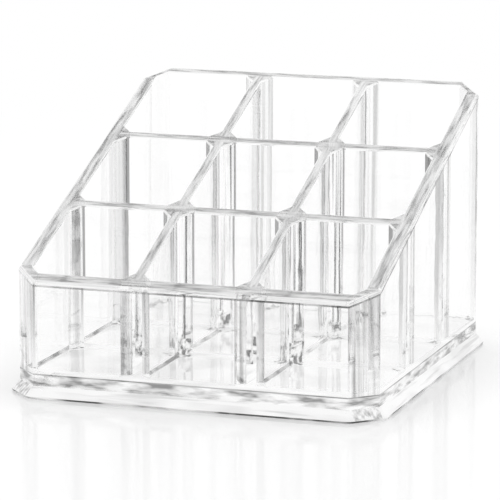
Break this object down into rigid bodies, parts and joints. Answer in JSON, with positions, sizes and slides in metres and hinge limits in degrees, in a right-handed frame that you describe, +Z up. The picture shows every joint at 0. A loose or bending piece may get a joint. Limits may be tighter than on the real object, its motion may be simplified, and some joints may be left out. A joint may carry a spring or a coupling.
{
  "type": "vanity organizer",
  "caption": "Clear tray of upright open compartments for lipsticks and brushes, with a rim that slopes up from a low front to a tall rear, chamfered corners and a flared foot.",
  "frame": {"origin": "on the table, under the middle of the foot skirt", "axes": "+X to the right, +Y from the low front to the tall rear, +Z up"},
  "size_m": [0.0898, 0.0966, 0.0635],
  "materials": {
    "clear_acrylic": "polished, colourless and see-through"
  },
  "bodies": {
    "root": {"foot_skirt": "clear_acrylic", "floor_plate": "clear_acrylic", "front_wall": "clear_acrylic", "rear_wall": "clear_acrylic", "left_wall": "clear_acrylic", "right_wall": "clear_acrylic", "front_left_post": "clear_acrylic", "front_right_post": "clear_acrylic", "rear_left_post": "clear_acrylic", "rear_right_post": "clear_acrylic", "left_divider": "clear_acrylic", "right_divider": "clear_acrylic", "front_cross_divider": "clear_acrylic", "rear_cross_divider": "clear_acrylic", "front_wall_fillets": "clear_acrylic", "rear_wall_fillets": "clear_acrylic", "left_wall_fillets": "clear_acrylic", "right_wall_fillets": "clear_acrylic", "front_left_crossing_fillets": "clear_acrylic", "front_right_crossing_fillets": "clear_acrylic", "rear_left_crossing_fillets": "clear_acrylic", "rear_right_crossing_fillets": "clear_acrylic"}
  },
  "joints": []
}
